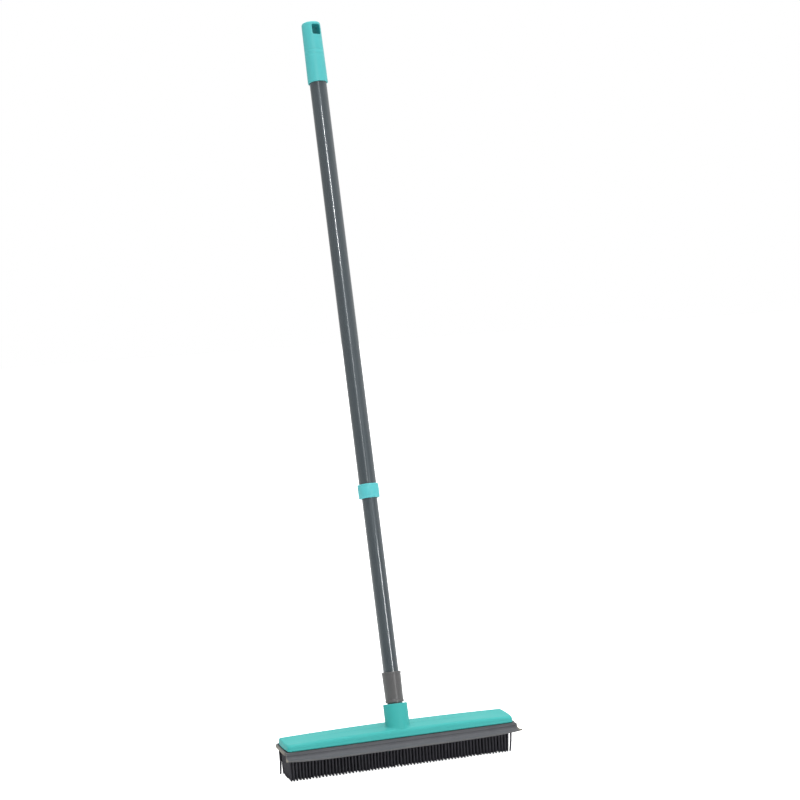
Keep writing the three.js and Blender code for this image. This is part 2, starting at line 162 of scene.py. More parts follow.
def makeCamera(look):
    turn = math.radians(look["turn"])
    down = math.radians(look["down"])
    roll = math.radians(look["roll"])
    ahead = Vector((math.sin(turn) * math.cos(down), math.cos(turn) * math.cos(down), -math.sin(down)))
    right = Vector((math.cos(turn), -math.sin(turn), 0))
    above = right.cross(ahead)
    rolledRight = right * math.cos(roll) - above * math.sin(roll)
    rolledAbove = right * math.sin(roll) + above * math.cos(roll)
    camera = bpy.data.objects.new("camera", bpy.data.cameras.new("camera"))
    camera.data.lens = look["lens"]
    camera.data.sensor_width = look["sensorWidth"]
    camera.data.clip_start, camera.data.clip_end = look["clip"]
    turned = Matrix((rolledRight, rolledAbove, -ahead)).transposed().to_4x4()
    camera.matrix_world = Matrix.Translation(Vector(look["place"])) @ turned
    bpy.context.scene.collection.objects.link(camera)
    bpy.context.scene.camera = camera


def makeSky(look):  # white to the camera, shaded light for everything else
    world = bpy.data.worlds.new("studioAir")
    bpy.context.scene.world = world
    world.use_nodes = True
    tree = world.node_tree
    tree.nodes.clear()
    direction = tree.nodes.new("ShaderNodeSeparateXYZ")
    feed(tree, direction.inputs["Vector"], tree.nodes.new("ShaderNodeTexCoord").outputs["Generated"])
    height = mapRange(tree, direction.outputs["Z"], 0.0, 1.0, look["skyLow"], look["skyHigh"])
    front = mapRange(tree, direction.outputs["Y"], *look["frontZone"], look["frontShade"])
    side = mapRange(tree, direction.outputs["X"], *look["sideZone"], look["sideShade"])

    def background(strength):
        node = tree.nodes.new("ShaderNodeBackground")
        node.inputs["Color"].default_value = (1, 1, 1, 1)
        feed(tree, node.inputs["Strength"], strength)
        return node.outputs["Background"]

    fill = background(multiply(tree, multiply(tree, height, front), side))
    seen = background(look["backdrop"])
    toCamera = tree.nodes.new("ShaderNodeLightPath").outputs["Is Camera Ray"]
    output = tree.nodes.new("ShaderNodeOutputWorld")
    feed(tree, output.inputs["Surface"], mixShaders(tree, toCamera, fill, seen))


def makeFloor(look):
    mesh = bpy.data.meshes.new("floor")
    reach = look["floorSize"] / 2
    corners = [(-reach, -reach, 0), (reach, -reach, 0), (reach, reach, 0), (-reach, reach, 0)]
    mesh.from_pydata(corners, [], [(0, 1, 2, 3)])
    white = bpy.data.materials.new("floorWhite")
    white.use_nodes = True
    tree = white.node_tree
    shader = tree.nodes["Principled BSDF"]
    shader.inputs["Base Color"].default_value = (look["floorWhite"],) * 3 + (1,)
    shader.inputs["Roughness"].default_value = look["floorRoughness"]
    shader.inputs["Emission Color"].default_value = (1, 1, 1, 1)
    toCamera = tree.nodes.new("ShaderNodeLightPath").outputs["Is Camera Ray"]
    feed(tree, shader.inputs["Emission Strength"], multiply(tree, toCamera, look["floorGlow"]))
    # clear from below, so that the underside can be looked at
    fromBelow = tree.nodes.new("ShaderNodeNewGeometry").outputs["Backfacing"]
    clear = tree.nodes.new("ShaderNodeBsdfTransparent").outputs["BSDF"]
    either = mixShaders(tree, fromBelow, shader.outputs["BSDF"], clear)
    feed(tree, tree.nodes["Material Output"].inputs["Surface"], either)
    mesh.materials.append(white)
    floor = bpy.data.objects.new("floor", mesh)
    bpy.context.scene.collection.objects.link(floor)


def makeSoftbox(name, look):
    light = bpy.data.lights.new(name, "AREA")
    light.shape = "RECTANGLE"
    light.size, light.size_y = look["size"]
    light.energy = look["power"]
    box = bpy.data.objects.new(name, light)
    box.location = look["place"]
    box.rotation_euler = (Vector(look["aim"]) - Vector(look["place"])).to_track_quat("-Z", "Y").to_euler()
    bpy.context.scene.collection.objects.link(box)


makeCamera(viewPoint)
makeSky(studio)
makeFloor(studio)
for softboxName, softboxLook in softboxes.items():
    makeSoftbox(softboxName, softboxLook)
bpy.context.scene.view_settings.view_transform = "Standard"
print("camera and studio ready")


# shader effects that several finishes share
def newGroup(name, inputs, outputs):
    group = bpy.data.node_groups.new(name, "ShaderNodeTree")
    group.interface.new_socket(name="Vector", in_out="INPUT", socket_type="NodeSocketVector")
    for label, value in inputs.items():
        socket = group.interface.new_socket(name=label, in_out="INPUT", socket_type="NodeSocketFloat")
        socket.default_value = value
    for label in outputs:
        group.interface.new_socket(name=label, in_out="OUTPUT", socket_type="NodeSocketFloat")
    return group, group.nodes.new("NodeGroupInput").outputs, group.nodes.new("NodeGroupOutput").inputs


noiseSpan = (0.3, 0.7)  # where nearly all of a noise's values lie


def makeGrainGroup():  # fine moulded grain: a height for bump, and a slight light and dark speckle
    group, given, result = newGroup("mouldedGrain", {"Scale": 900.0, "Fineness": 3.0}, ["Height", "Speckle"])
    noise = addNoise(group, given["Vector"], given["Scale"], given["Fineness"])
    feed(group, result["Height"], noise)
    feed(group, result["Speckle"], mapRange(group, noise, *noiseSpan))
    return group


def makeHandlingGroup():  # broad soft patches left by handling, between two values
    group, given, result = newGroup("handlingPatches", {"Scale": 20.0, "Low": 0.3, "High": 0.5}, ["Value"])
    noise = addNoise(group, given["Vector"], given["Scale"], detail=4.0, distortion=0.6)
    feed(group, result["Value"], mapRange(group, noise, *noiseSpan, given["Low"], given["High"]))
    return group


def makeEdgeGroup():  # worn edges with a painted highlight on them, broken up by noise
    group, given, result = newGroup("edgeWearAndHighlight", {"Scale": 60.0, "Start": 0.52, "End": 0.62}, ["Mask"])
    pointed = group.nodes.new("ShaderNodeNewGeometry").outputs["Pointiness"]
    edges = mapRange(group, pointed, given["Start"], given["End"])
    noise = addNoise(group, given["Vector"], given["Scale"], detail=3.0)
    breakUp = mapRange(group, noise, 0.25, 0.65, toMin=0.35)
    feed(group, result["Mask"], multiply(group, edges, breakUp))
    return group


grainGroup = makeGrainGroup()
handlingGroup = makeHandlingGroup()
edgeGroup = makeEdgeGroup()


def placeGroup(tree, group, coords, values):
    node = tree.nodes.new("ShaderNodeGroup")
    node.node_tree = group
    tree.links.new(coords, node.inputs["Vector"])
    for label, value in values.items():
        node.inputs[label].default_value = value
    return node


everyFinish = {  # holds where a finish says nothing else
    "fineness": 3.0,
    "edgeScale": 80.0,
    "edgeStart": 0.51,
    "metallic": 0.0,
    "specular": 0.5,
    "coat": 0.0,
    "coatRoughness": 0.05,
    "soft": 0.0,  # how much light gets under the surface
    "softRadius": (0.3, 0.9, 0.8),
    "softScale": 1 * mm,
}


def makeFinish(name, ownLook):
    look = {**everyFinish, **ownLook}
    material = bpy.data.materials.new(name)
    material.use_nodes = True
    tree = material.node_tree
    shader = tree.nodes["Principled BSDF"]
    coords = tree.nodes.new("ShaderNodeTexCoord").outputs["Object"]

    grain = placeGroup(tree, grainGroup, coords, {"Scale": look["grainScale"], "Fineness": look["fineness"]})
    patches = placeGroup(tree, handlingGroup, coords, {
        "Scale": look["patchScale"], "Low": look["roughness"][0], "High": look["roughness"][1]})
    edges = placeGroup(tree, edgeGroup, coords, {
        "Scale": look["edgeScale"], "Start": look["edgeStart"], "End": look["edgeEnd"]})
    tint = placeGroup(tree, handlingGroup, coords, {"Scale": look["tintScale"], "Low": 0.0, "High": 1.0})

    base = mixColours(tree, tint.outputs["Value"], look["colour"], look["colour2"])
    speckled = multiply(tree, grain.outputs["Speckle"], look["speckle"])
    base = mixColours(tree, speckled, base, look["speckleColour"])
    # edges made lighter: partly wear, partly painted highlight
    wornAndLit = multiply(tree, edges.outputs["Mask"], look["edgeAmount"])
    base = mixColours(tree, wornAndLit, base, look["edgeColour"])
    if "endPaintedLight" in look:  # painted warm light on the far ends of the rim
        split = tree.nodes.new("ShaderNodeSeparateXYZ")
        feed(tree, split.inputs["Vector"], coords)
        farAway = tree.nodes.new("ShaderNodeMath")
        farAway.operation = "ABSOLUTE"
        feed(tree, farAway.inputs[0], split.outputs["X"])
        ends = mapRange(tree, farAway.outputs["Value"], look["endStart"], look["endEnd"])
        base = mixColours(tree, ends, base, look["endPaintedLight"])
    feed(tree, shader.inputs["Base Color"], base)
    feed(tree, shader.inputs["Roughness"], patches.outputs["Value"])

    bump = tree.nodes.new("ShaderNodeBump")
    bump.inputs["Strength"].default_value = look["bump"]
    bump.inputs["Distance"].default_value = look["bumpDepth"]
    feed(tree, bump.inputs["Height"], grain.outputs["Height"])
    feed(tree, shader.inputs["Normal"], bump.outputs["Normal"])

    shader.inputs["Metallic"].default_value = look["metallic"]
    shader.inputs["Specular IOR Level"].default_value = look["specular"]
    shader.inputs["Coat Weight"].default_value = look["coat"]
    shader.inputs["Coat Roughness"].default_value = look["coatRoughness"]
    shader.inputs["Subsurface Weight"].default_value = look["soft"]
    shader.inputs["Subsurface Radius"].default_value = look["softRadius"]
    shader.inputs["Subsurface Scale"].default_value = look["softScale"]
    return material


finishes = {
    "turquoisePlastic": {  # satin moulded polypropylene
        "colour": (0.062, 0.515, 0.487), "colour2": (0.074, 0.54, 0.512),
        "tintScale": 9.0, "speckle": 0.08, "speckleColour": (0.09, 0.54, 0.5),
        "grainScale": 1500.0, "bump": 0.12, "bumpDepth": 0.0002, "patchScale": 25.0,
        "roughness": (0.4, 0.5), "edgeEnd": 0.6, "edgeAmount": 0.2, "edgeColour": (0.1, 0.62, 0.6),
        "soft": 0.05, "specular": 0.2,
    },
    "turquoisePaintedLight": {  # the same plastic, painted lighter on the cap and the collar as painted light from above
        "colour": (0.105, 0.6, 0.612), "colour2": (0.119, 0.625, 0.637),
        "tintScale": 12.0, "speckle": 0.08, "speckleColour": (0.15, 0.62, 0.61),
        "grainScale": 1500.0, "bump": 0.12, "bumpDepth": 0.0002, "patchScale": 30.0,
        "roughness": (0.34, 0.44), "edgeEnd": 0.6, "edgeAmount": 0.2, "edgeColour": (0.2, 0.68, 0.67),
        "soft": 0.05, "specular": 0.4,
    },
    "turquoisePaintedShade": {  # inside of the hang hole: the same plastic, darkened as painted shade
        "colour": (0.02, 0.35, 0.37), "colour2": (0.026, 0.39, 0.41),
        "tintScale": 60.0, "speckle": 0.1, "speckleColour": (0.04, 0.3, 0.3),
        "grainScale": 1500.0, "bump": 0.15, "bumpDepth": 0.0002, "patchScale": 90.0,
        "roughness": (0.5, 0.62), "edgeEnd": 0.6, "edgeAmount": 0.3, "edgeColour": (0.1, 0.5, 0.5),
    },
    "greyRubber": {  # squeegee and rim: the bristles' rubber, painted lighter as painted light on the lip and rim
        "colour": (0.097, 0.103, 0.116), "colour2": (0.114, 0.119, 0.131),
        "tintScale": 30.0, "speckle": 0.12, "speckleColour": (0.2, 0.2, 0.2),
        "grainScale": 1200.0, "bump": 0.25, "bumpDepth": 0.0003, "patchScale": 40.0,
        "roughness": (0.55, 0.72), "edgeEnd": 0.6, "edgeAmount": 0.5, "edgeColour": (0.2, 0.185, 0.165),
        # painted warm light on the rim's far ends
        "endPaintedLight": (0.28, 0.26, 0.215), "endStart": 0.1525, "endEnd": 0.1545,
    },
    "darkRubber": {  # bristles and their sheet
        "colour": (0.026, 0.026, 0.036), "colour2": (0.036, 0.035, 0.046),
        "tintScale": 120.0, "speckle": 0.1, "speckleColour": (0.05, 0.05, 0.06),
        "grainScale": 1500.0, "bump": 0.2, "bumpDepth": 0.0002, "patchScale": 90.0,
        "roughness": (0.45, 0.62), "edgeEnd": 0.62, "edgeAmount": 0.15, "edgeColour": (0.1, 0.1, 0.11),
    },
    "adapterPlastic": {  # matt grey end piece of the pole
        "colour": (0.1, 0.1, 0.101), "colour2": (0.116, 0.115, 0.117),
        "tintScale": 25.0, "speckle": 0.2, "speckleColour": (0.19, 0.185, 0.18),
        "grainScale": 1000.0, "bump": 0.3, "bumpDepth": 0.0003, "patchScale": 50.0,
        "roughness": (0.38, 0.48), "edgeEnd": 0.6, "edgeAmount": 0.3, "edgeColour": (0.22, 0.21, 0.2),
        "coat": 0.5, "coatRoughness": 0.25,
    },
    "tubePaint": {  # glossy grey paint over steel
        "colour": (0.078, 0.099, 0.112), "colour2": (0.092, 0.113, 0.126),
        "tintScale": 12.0, "speckle": 0.06, "speckleColour": (0.16, 0.18, 0.19),
        "grainScale": 420.0, "bump": 0.05, "bumpDepth": 0.0002, "patchScale": 18.0,
        "roughness": (0.3, 0.4), "edgeEnd": 0.6, "edgeAmount": 0.2, "edgeColour": (0.3, 0.31, 0.32),
        "metallic": 0.25, "coat": 1.0, "coatRoughness": 0.07,
    },
    "plainNylon": {  # lock pieces and guide bush
        "colour": (0.68, 0.66, 0.6), "colour2": (0.72, 0.7, 0.65),
        "tintScale": 40.0, "speckle": 0.1, "speckleColour": (0.6, 0.58, 0.52),
        "grainScale": 900.0, "bump": 0.1, "bumpDepth": 0.0002, "patchScale": 60.0,
        "roughness": (0.4, 0.5), "edgeEnd": 0.62, "edgeAmount": 0.2, "edgeColour": (0.8, 0.79, 0.76),
        "soft": 0.1,
    },
    "greyPlastic": {  # clamp plate
        "colour": (0.15, 0.15, 0.15), "colour2": (0.17, 0.17, 0.17),
        "tintScale": 30.0, "speckle": 0.15, "speckleColour": (0.22, 0.22, 0.22),
        "grainScale": 900.0, "bump": 0.2, "bumpDepth": 0.0002, "patchScale": 50.0,
        "roughness": (0.5, 0.62), "edgeEnd": 0.62, "edgeAmount": 0.2, "edgeColour": (0.25, 0.25, 0.25),
    },
    "zincSteel": {  # clamp screws
        "colour": (0.56, 0.57, 0.58), "colour2": (0.62, 0.62, 0.6),
        "tintScale": 200.0, "speckle": 0.2, "speckleColour": (0.45, 0.46, 0.48),
        "grainScale": 2500.0, "bump": 0.2, "bumpDepth": 0.0001, "patchScale": 300.0,
        "roughness": (0.22, 0.38), "edgeEnd": 0.62, "edgeAmount": 0.3, "edgeColour": (0.75, 0.75, 0.75),
        "metallic": 1.0,
    },
}
# the collar painted lighter still: painted light on the same plastic
finishes["collarTurquoisePaintedLight"] = {**finishes["turquoisePaintedLight"], "colour": (0.125, 0.66, 0.7),
                               "colour2": (0.14, 0.685, 0.725)}
finish = {name: makeFinish(name, look) for name, look in finishes.items()}
print("finishes ready:", len(finish))


# mesh helpers
def makePiece(name, points, faces, finishName, body, replaced, sharpAngle=40):
    mesh = bpy.data.meshes.new(name)
    mesh.from_pydata([tuple(p) for p in points], [], faces)
    mesh.validate()
    for polygon in mesh.polygons:
        polygon.use_smooth = True
    mesh.set_sharp_from_angle(angle=math.radians(sharpAngle))
    mesh.materials.append(finish[finishName])
    piece = bpy.data.objects.new(name, mesh)
    bpy.context.scene.collection.objects.link(piece)
    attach(piece, body)
    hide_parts(replaced)
    return piece


def joinRings(rings, closeUp=False, startCap=False, endCap=False, firstIndex=0):
    # faces between neighbouring closed rings of equal length; the caps are single polygons
    count = len(rings[0])
    points = [p for ring in rings for p in ring]
    faces = []
    pairs = len(rings) if closeUp else len(rings) - 1
    for i in range(pairs):
        low = firstIndex + i * count
        high = firstIndex + ((i + 1) % len(rings)) * count
        for j in range(count):
            k = (j + 1) % count
            faces.append((low + j, low + k, high + k, high + j))
    if startCap:
        faces.append(tuple(firstIndex + j for j in reversed(range(count))))
    if endCap:
        last = firstIndex + (len(rings) - 1) * count
        faces.append(tuple(last + j for j in range(count)))
    return points, faces


def onPole(radius, angle, place):
    return polePlace @ Vector((radius * math.cos(angle), radius * math.sin(angle), place))


def turnedRings(profile, sides=96):  # rings round the pole's axis, from a list of (radius, place along it)
    angles = [2 * math.pi * j / sides for j in range(sides)]
    return [[onPole(radius, angle, place) for angle in angles] for radius, place in profile]


def rounded(start, corner, end, steps=5):  # soft corner between three (radius, place) points
    curve = []
    for i in range(steps + 1):
        t = i / steps
        curve.append(tuple((1 - t) ** 2 * a + 2 * t * (1 - t) * b + t * t * c
                           for a, b, c in zip(start, corner, end)))
    return curve


def outline(halfX, lowY, highY, radius, longSteps=48, shortSteps=8, cornerSteps=8):
    # rounded rectangle, anticlockwise from the left end of its front side
    points = []

    def side(start, end, steps):
        for i in range(steps):
            t = i / steps
            points.append((start[0] + (end[0] - start[0]) * t, start[1] + (end[1] - start[1]) * t))

    def corner(x, y, startAngle):
        for i in range(cornerSteps):
            angle = startAngle + (math.pi / 2) * i / cornerSteps
            points.append((x + radius * math.cos(angle), y + radius * math.sin(angle)))

    x, low, high = halfX - radius, lowY + radius, highY - radius
    side((-x, lowY), (x, lowY), longSteps)
    corner(x, low, -math.pi / 2)
    side((halfX, low), (halfX, high), shortSteps)
    corner(x, high, 0)
    side((x, highY), (-x, highY), longSteps)
    corner(-x, high, math.pi / 2)
    side((-halfX, high), (-halfX, low), shortSteps)
    corner(-x, low, math.pi)
    return points


# head shell with its socket
shellLook = {
    "crownHeight": 10.4 * mm,
    "archDrop": 2.3 * mm,  # how much lower the crown is at its two ends
    "draft": 0.9 * mm,  # how far the long walls lean in
    "endDraft": 0.5 * mm,
    "edgeRound": 5.0 * mm,
    "endRound": 1.6 * mm,
    "edgeBreak": 0.15 * mm,
    "endBulge": 1.8 * mm,
    "bulgeSteepness": 12,  # the bulge is in the last twelfth of each half
    "recessHeight": 1.1 * mm,  # shadow gap above the rubber rim
    "recessDepth": 1.3 * mm,
    "cornerRadius": 3.6 * mm,
    "cornerShrink": 0.75,  # how fast the corners tighten on the way in
    "leastCorner": 0.2 * mm,
    "wall": 2.4 * mm,
    "hollowHeight": 2 * mm,
    "crownInsets": (9, 13, 17, 21, 24.6),  # millimetres
    "bore": 11.5 * mm,
    "boreBottom": 14 * mm,
    "mouth": 1.3 * mm,  # chamfer of the bore
    "mouthShape": ((0, 2), (0.6, 0.3), (1, 0)),  # out and down, as shares of the chamfer
    "socketWall": 4.05 * mm,
    "socketRound": 0.9 * mm,
    "wallRings": (5, 12),  # millimetres below the mouth
    "filletReach": 3.4 * mm,
    "filletOverlap": 0.02 * mm,
    "filletSunk": 1.2 * mm,  # how far the socket goes on under the crown
}
_, socketTop, _ = poleSpan("head_shell")


def crownAt(x):
    share = min(1.0, abs(x) / halfLength)
    return shellBottom + shellLook["crownHeight"] - shellLook["archDrop"] * share ** 2


def topAt(x, y):  # height of the shell's top, with the rounding along its front edge
    edge = shellLook["edgeRound"]
    into = shellLook["draft"] + edge - (y + halfWidth)
    if into <= 0:
        return crownAt(x)
    return crownAt(x) - edge + math.sqrt(max(0.0, edge ** 2 - into ** 2))


def shellRings(look):  # from inside the hollow, round the lower edge, up the walls and over the crown
    rings = []

    def bulged(x, y):
        share = max(0.0, abs(x) / halfLength * look["bulgeSteepness"] - (look["bulgeSteepness"] - 1))
        return x + math.copysign(look["endBulge"], x) * share * (1 - (y / halfWidth) ** 2)

    def addRing(inset, endInset, heightAt):
        radius = max(look["cornerRadius"] - inset * look["cornerShrink"], look["leastCorner"])
        ring = outline(halfLength - endInset, -halfWidth + inset, halfWidth - inset, radius)
        bulgedRing = [(bulged(x, y), y) for x, y in ring]
        rings.append([Vector((x, y, heightAt(x))) for x, y in bulgedRing])

    low, gap, deep, edge = shellBottom, look["recessHeight"], look["recessDepth"], look["edgeBreak"]
    wallStart = low + gap + edge
    addRing(look["wall"], look["wall"], lambda x: low + look["hollowHeight"])
    addRing(look["wall"], look["wall"], lambda x: low)
    addRing(deep, deep, lambda x: low)
    addRing(deep, deep, lambda x: low + gap)
    addRing(edge, edge, lambda x: low + gap)
    addRing(0, 0, lambda x: wallStart)
    wallSteps = 3
    for i in range(1, wallSteps + 1):
        t = i / wallSteps
        addRing(look["draft"] * t, look["endDraft"] * t,
                lambda x: wallStart + (crownAt(x) - look["edgeRound"] - wallStart) * t)
    roundSteps = 10
    for i in range(1, roundSteps + 1):
        angle = math.pi / 2 * i / roundSteps
        away = 1 - math.cos(angle)
        addRing(look["draft"] + look["edgeRound"] * away, look["endDraft"] + look["endRound"] * away,
                lambda x: crownAt(x) - look["edgeRound"] * (1 - math.sin(angle)))
    for inset in look["crownInsets"]:
        addRing(inset * mm, inset * mm, crownAt)
    return rings


def socketRings(look):  # up the bore, over the rim, down the wall and out in a fillet on to the crown
    sides = 96
    bore, mouth, rimRound = look["bore"], look["mouth"], look["socketRound"]
    outer = bore + look["socketWall"]
    profile = [(bore, look["boreBottom"])]
    profile += [(bore + out * mouth, socketTop - down * mouth) for out, down in look["mouthShape"]]
    profile += rounded((outer - rimRound, socketTop), (outer, socketTop), (outer, socketTop - rimRound))
    profile += [(outer, socketTop - down * mm) for down in look["wallRings"]]
    filletSteps = 7
    reach = look["filletReach"]
    frontLimit = -halfWidth + look["draft"] + 0.5 * look["edgeRound"]
    fillet = [[] for _ in range(filletSteps + 2)]
    for j in range(sides):
        angle = 2 * math.pi * j / sides
        x = outer * math.cos(angle)
        y = outer * math.sin(angle)
        place = (crownAt(x) - poleBase.z - y * poleBack.z) / poleAxis.z  # where wall and crown meet
        meet = polePlace @ Vector((x, y, place))
        high = polePlace @ Vector((x, y, place + reach))
        outward = Vector((meet.x, meet.y - (poleBase + poleAxis * place).y, 0)).normalized()
        away = reach
        if outward.y < 0:  # the fillet stays behind the shell's front edge
            away = min(reach, (meet.y - frontLimit) / -outward.y)
        low = meet + outward * away
        low.z = topAt(low.x, low.y) - look["filletOverlap"]
        for i in range(filletSteps + 1):
            t = i / filletSteps
            fillet[i].append(high * (1 - t) ** 2 + meet * 2 * t * (1 - t) + low * t * t)
        fillet[-1].append(low - Vector((0, 0, look["filletSunk"])))
    return turnedRings(profile, sides) + fillet


def makeHeadShell(look):
    points, faces = joinRings(shellRings(look), startCap=True, endCap=True)
    more, moreFaces = joinRings(socketRings(look), closeUp=True, firstIndex=len(points))
    moreFaces = [tuple(reversed(face)) for face in moreFaces]
    makePiece("headShell", points + more, faces + moreFaces, "turquoisePlastic", "head",
              "head_shell", sharpAngle=50)


makeHeadShell(shellLook)
print("head shell made")


# rubber rim and squeegee lip
rimLow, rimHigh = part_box("squeegee_rim")
rimLook = {
    "thickness": 4.4 * mm,
    "overhang": rimHigh.y - halfWidth,
    "frontOverhang": 1 * mm,  # the lip hides the rim's front
    "innerMargin": 12 * mm,
    "cornerRadius": 10 * mm,
    "leastCorner": 1 * mm,
    # millimetres out from the shell's wall, and down from the rim's top
    "groove": ((-2, 0), (-1.2, 0.9), (0.9, 0.9), (1.5, 0.1)),
    "lipBand": ((-2, 0.2), (0.6, 0.1), (1.2, 0.5), (1.4, 1.6), (1.55, 2.4)),
    "lipRidge": ((2, 2.8), (2.1, 3.2), (1.9, 3.7)),
    "sweepStart": (1.9 * mm, 3.9 * mm),
    "sweepBend": (2.6 * mm, 0.6 * mm),  # out, and up from the lip's edge
    "lipReach": -halfWidth - rimLow.y,
    "lipThickness": 2.0 * mm,
    "tipRound": (0.4 * mm, 0.5 * mm),
    "underStart": 1.5 * mm,  # in from the lip's edge
    "underBend": (0.6 * mm, 0.4 * mm),
    "root": (-1.5 * mm, 0.4 * mm),  # out from the wall, and up from the rim's lower face
    "lipRight": rimHigh.x,
    "lipLeft": rimHigh.x - 2.2 * mm,
    "lipRootHalf": 152.8 * mm,
    "lipFlare": 0.7,  # below 1 the lip's ends flare out early
    "lipEndLift": 3.2 * mm,  # how much higher the lip's edge is at its ends
    "liftSteepness": 6,
    # share of the lip's half length, and share of its thickness there
    "lipEndRound": {1.0: 0.8, 0.9995: 0.93, 0.998: 0.99},
    "lipPlain": 0.99,
    "lipSteps": 60,
}


def rimRings(look):
    top, out, thick, inner = rimHigh.z, look["overhang"], look["thickness"], -look["innerMargin"]
    section = [(inner, top)] + [(reach * mm, top - down * mm) for reach, down in look["groove"]]
    section += rounded((0.5 * out, top), (out, top), (out, top - 0.35 * thick))
    section += rounded((out, top - 0.65 * thick), (out, top - thick), (0.4 * out, top - thick))
    section += [(inner, top - thick)]
    rings = []
    for reach, height in section:
        radius = max(look["cornerRadius"] + reach - out, look["leastCorner"])
        lowY = -halfWidth - min(reach, look["frontOverhang"])
        ring = outline(halfLength + reach, lowY, halfWidth + reach, radius)
        rings.append([Vector((x, y, height)) for x, y in ring])
    return rings


def lipOutline(look):  # band under the shell, small ridge, concave sweep out to the edge, and back under
    top, bottom, reach = rimHigh.z, rimLow.z, look["lipReach"]
    edgeTop = bottom + look["lipThickness"]
    cut, up = look["tipRound"]
    points = [(out * mm, top - down * mm) for out, down in look["lipBand"] + look["lipRidge"]]
    start = (look["sweepStart"][0], top - look["sweepStart"][1])
    bend = (look["sweepBend"][0], edgeTop + look["sweepBend"][1])
    points += rounded(start, bend, (reach - cut, edgeTop), steps=9)
    points += [(reach, edgeTop - up), (reach, bottom + up), (reach - cut, bottom)]
    bend = (look["underBend"][0], bottom + look["underBend"][1])
    root = (look["root"][0], top - look["thickness"] + look["root"][1])
    points += rounded((reach - look["underStart"], bottom), bend, root, steps=8)
    return points


def lipRings(look):
    section = lipOutline(look)
    middleReach = sum(reach for reach, _ in section) / len(section)
    plain, steps = look["lipPlain"], look["lipSteps"]
    ends = [-place for place in look["lipEndRound"]]
    middle = [-plain + 2 * plain * i / steps for i in range(steps + 1)]
    stations = ends + middle + [-end for end in reversed(ends)]
    rings = []
    for station in stations:
        lift = look["lipEndLift"] * abs(station) ** look["liftSteepness"]
        shrink = look["lipEndRound"].get(abs(station), 1.0)
        tipHalf = look["lipRight"] if station > 0 else look["lipLeft"]
        ring = []
        for reach, height in section:
            share = max(0.0, reach) / look["lipReach"]
            half = look["lipRootHalf"] + (tipHalf - look["lipRootHalf"]) * share ** look["lipFlare"]
            y = -halfWidth - (middleReach + (reach - middleReach) * (1 + shrink) / 2)
            ring.append(Vector((station * half, y, height + lift * share)))
        rings.append(ring)
    return rings


def makeSqueegeeRim(look):
    points, faces = joinRings(rimRings(look), closeUp=True)
    faces = [tuple(reversed(face)) for face in faces]
    more, moreFaces = joinRings(lipRings(look), startCap=True, endCap=True, firstIndex=len(points))
    makePiece("squeegeeRim", points + more, faces + moreFaces, "greyRubber", "head",
              "squeegee_rim", sharpAngle=35)


makeSqueegeeRim(rimLook)
print("rim and lip made")


# bristles
blockLow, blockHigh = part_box("bristle_block")
bristleLook = {
    "rowPitch": 4.2 * mm,
    "rowMargin": 2.5 * mm,
    "columnPitch": 4.29 * mm,
    "columns": 69,
    "firstColumn": -147 * mm,
    "rootSunk": 0.4 * mm,  # into the sheet
    "rootRadius": 1.45 * mm,
    "tipRadius": 1.25 * mm,
    # share of the way down, and how thick the finger is there
    "fingerShape": {0.0: 1.2, 0.06: 1.04, 0.3: 1.0, 0.55: 1.0, 0.8: 1.0, 0.94: 1.0, 0.985: 0.95, 1.0: 0.75},
    "inwardLean": 1.5 * mm,  # at the two ends of each row
    "leanZone": 10 * mm,
    "leanCurve": 1.5,  # above 1 a finger leaves the sheet straight down
    "waves": ((0.3 * mm, 71, 0.2), (0.15 * mm, 190, 0.4)),  # size, quickness along a row and across rows
    "wander": 0.16 * mm,
    "bow": 0.12 * mm,
    "frontSplay": 0.5 * mm,
    "unevenTips": 0.6 * mm,
    "strays": ((148.8, -17, 146.8), (-149.6, 21, -150.0)),  # root X and Y and tip X, millimetres
    "strayBow": (0.5 * mm, 0.2 * mm),
    "strayLift": 0.5 * mm,
    "sides": 8,
    "seed": 11,
    "sheet": 3 * mm,
    "sheetMargin": 4 * mm,
    "sheetCorner": 3 * mm,
    "sheetEdge": ((1.0, 0.0), (0.3, 0.04), (0.0, 1 / 6), (0.0, 5 / 6), (0.3, 0.96), (1.0, 1.0)),
}


def fingerRings(look, root, tip, bow):
    rings = []
    for share, girth in look["fingerShape"].items():
        ease = share ** look["leanCurve"]
        x = root.x + (tip.x - root.x) * ease + bow[0] * math.sin(math.pi * share)
        y = root.y + (tip.y - root.y) * ease + bow[1] * math.sin(math.pi * share)
        centre = Vector((x, y, root.z + (tip.z - root.z) * share))
        radius = (look["rootRadius"] + (look["tipRadius"] - look["rootRadius"]) * share) * girth
        ring = []
        for j in range(look["sides"]):
            angle = -2 * math.pi * j / look["sides"]
            ring.append(centre + Vector((radius * math.cos(angle), radius * math.sin(angle), 0)))
        rings.append(ring)
    return rings


def sheetRings(look, bottom):  # moulded sheet that the fingers stand on
    halfX = blockHigh.x + look["sheetMargin"]
    rings = []
    for inset, share in look["sheetEdge"]:
        lowY, highY = blockLow.y + inset * mm, blockHigh.y - inset * mm
        ring = outline(halfX - inset * mm, lowY, highY, look["sheetCorner"])
        rings.append([Vector((x, y, bottom + share * look["sheet"])) for x, y in ring])
    return rings


